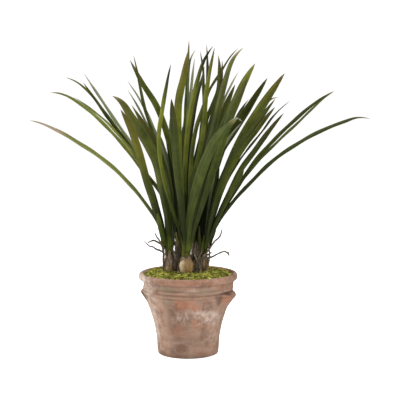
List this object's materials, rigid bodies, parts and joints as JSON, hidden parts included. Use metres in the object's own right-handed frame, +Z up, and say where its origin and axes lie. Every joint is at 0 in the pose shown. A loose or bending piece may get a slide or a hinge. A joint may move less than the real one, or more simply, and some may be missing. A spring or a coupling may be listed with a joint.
{
  "type": "potted orchid foliage plant",
  "caption": "Clump of long narrow keeled strap leaves on swollen stem bases with wiry roots, in moss in an aged lime-washed clay pot with a rolled rim and small lug handles.",
  "frame": {"origin": "centre of the pot's flat underside", "axes": "+Z up along the pot's axis, +X to the right along the leaf clump's greatest spread, front at -Y"},
  "size_m": [0.8301, 0.5609, 0.7862],
  "materials": {
    "pot": "matt aged terracotta with lime wash",
    "potting_soil": "dark, loose, bark-like",
    "moss": "soft, matt, yellow-green",
    "roots": "matt, dark brown",
    "pseudobulbs": "satin tan with papery sheaths",
    "leaves": "satin dark olive green"
  },
  "bodies": {
    "root": {"pot": "pot", "potting_soil": "potting_soil", "moss": "moss", "rootstock": "roots", "aerial_roots_left": "roots", "pseudobulb_left": "pseudobulbs", "pseudobulb_front": "pseudobulbs", "pseudobulb_right": "pseudobulbs", "pseudobulb_back_left": "pseudobulbs", "pseudobulb_back_right": "pseudobulbs", "leaves_left": "leaves", "leaves_front": "leaves", "leaves_right": "leaves", "leaves_back_left": "leaves", "leaves_back_right": "leaves"}
  },
  "joints": []
}
